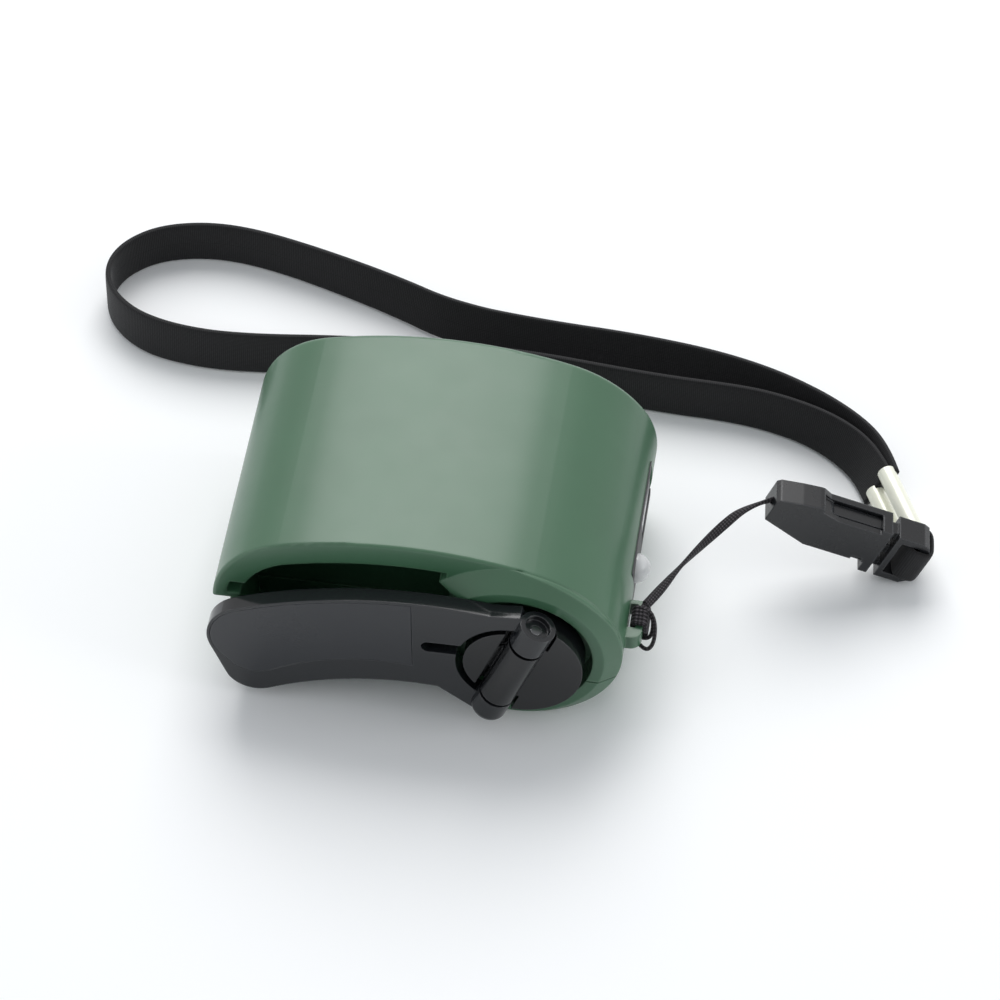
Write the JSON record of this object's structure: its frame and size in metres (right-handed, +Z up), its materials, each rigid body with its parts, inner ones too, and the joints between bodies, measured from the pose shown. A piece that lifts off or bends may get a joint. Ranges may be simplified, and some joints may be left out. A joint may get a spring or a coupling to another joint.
{
  "type": "hand crank generator",
  "caption": "Pocket hand crank generator: bean-shaped case with a folding crank arm, geared dynamo, charging socket, lamp, and a wrist strap on a side release buckle.",
  "frame": {"origin": "on the table under the middle of the case with its crank, the strap and its buckle left out", "axes": "+X along the bean from the arm's tip to the hub, +Y from the crank face to the back, +Z up"},
  "size_m": [0.1487, 0.101, 0.0351],
  "materials": {
    "case_green": "satin lacquered plastic",
    "crank_black": "satin black plastic",
    "grip_black": "matte black plastic",
    "steel": "plain steel",
    "gear_plastic": "white gear plastic",
    "brass_parts": "plain brass",
    "dynamo_steel": "zinc plated steel",
    "copper_winding": "enamelled copper wire",
    "inner_black": "black plastic",
    "board": "glass fibre board",
    "panel_black": "matte black plastic",
    "socket_white": "white plastic",
    "lamp_clear": "clear lens",
    "cord_black": "black braided cord",
    "strap_black": "black woven webbing",
    "buckle_black": "satin black plastic",
    "crimp_silver": "pale plated metal"
  },
  "bodies": {
    "case": {"upper_shell": "case_green", "lower_shell": "case_green", "case_screws": "steel", "end_panel": "panel_black", "usb_shell": "steel", "usb_tongue": "socket_white", "charge_lamp": "lamp_clear", "circuit_board": "board", "capacitor": "inner_black", "inductor": "inner_black", "regulator": "inner_black", "rectifier": "inner_black", "gear_plate_front": "steel", "gear_plate_back": "steel", "plate_posts": "steel", "plate_screws": "steel", "gear_pin_1": "steel", "gear_pin_2": "steel", "front_bush": "brass_parts", "dynamo_can": "dynamo_steel", "dynamo_winding": "copper_winding", "dynamo_end_cap": "inner_black", "lanyard_loop": "cord_black", "lanyard_cord": "cord_black", "buckle_body": "buckle_black"},
    "crank_rotor": {"crank_hub": "crank_black", "crank_shaft": "steel", "drive_gear": "gear_plastic", "shaft_clip": "steel"},
    "folding_arm": {"crank_arm": "crank_black", "arm_cover": "crank_black", "hinge_pin": "steel", "grip_pin": "steel"},
    "grip_rod": {"grip_core": "steel"},
    "grip_turning_sleeve": {"grip_sleeve": "grip_black"},
    "first_compound_gear": {"compound_gear_1": "gear_plastic"},
    "second_compound_gear": {"compound_gear_2": "gear_plastic"},
    "dynamo_rotor": {"dynamo_shaft": "steel", "dynamo_magnet": "dynamo_steel", "dynamo_pinion": "brass_parts"},
    "strap_clip": {"buckle_clip": "buckle_black", "strap_crimp_lower": "crimp_silver", "strap_crimp_upper": "crimp_silver", "wrist_strap": "strap_black"}
  },
  "joints": [
    {"name": "crank_spin", "type": "hinge", "parent": "case", "child": "crank_rotor", "pos_m": [0.01505, -0.02153, 0.015], "axis": [0, 1, 0], "continuous": true},
    {"name": "arm_fold", "type": "hinge", "parent": "crank_rotor", "child": "folding_arm", "pos_m": [0.01505, -0.02457, 0.015], "axis": [0.3535, 0, 0.9354], "range_deg": [0, 180]},
    {"name": "knob_fold", "type": "hinge", "parent": "folding_arm", "child": "grip_rod", "pos_m": [-0.02805, -0.02118, 0.0136], "axis": [0, 0, 1], "range_deg": [0, 90]},
    {"name": "knob_spin", "type": "hinge", "parent": "grip_rod", "child": "grip_turning_sleeve", "pos_m": [-0.0165, -0.02118, 0.0136], "axis": [1, 0, 0], "continuous": true},
    {"name": "compound_1_spin", "type": "hinge", "parent": "case", "child": "first_compound_gear", "pos_m": [0.00283, 0.00422, 0.01945], "axis": [0, 1, 0], "continuous": true},
    {"name": "compound_2_spin", "type": "hinge", "parent": "case", "child": "second_compound_gear", "pos_m": [-0.00898, 0.00422, 0.01736], "axis": [0, 1, 0], "continuous": true},
    {"name": "dynamo_spin", "type": "hinge", "parent": "case", "child": "dynamo_rotor", "pos_m": [-0.01944, 0.00422, 0.01828], "axis": [0, 1, 0], "continuous": true},
    {"name": "buckle_release", "type": "slide", "parent": "case", "child": "strap_clip", "axis": [0.925, 0.0809, -0.3714], "range_m": [0, 0.013]}
  ],
  "couplings": [
    {"joint": "knob_fold", "follows": "arm_fold", "ratio": 0.5},
    {"joint": "compound_1_spin", "follows": "crank_spin", "ratio": -3.3333},
    {"joint": "compound_2_spin", "follows": "crank_spin", "ratio": 10},
    {"joint": "dynamo_spin", "follows": "crank_spin", "ratio": -32}
  ]
}
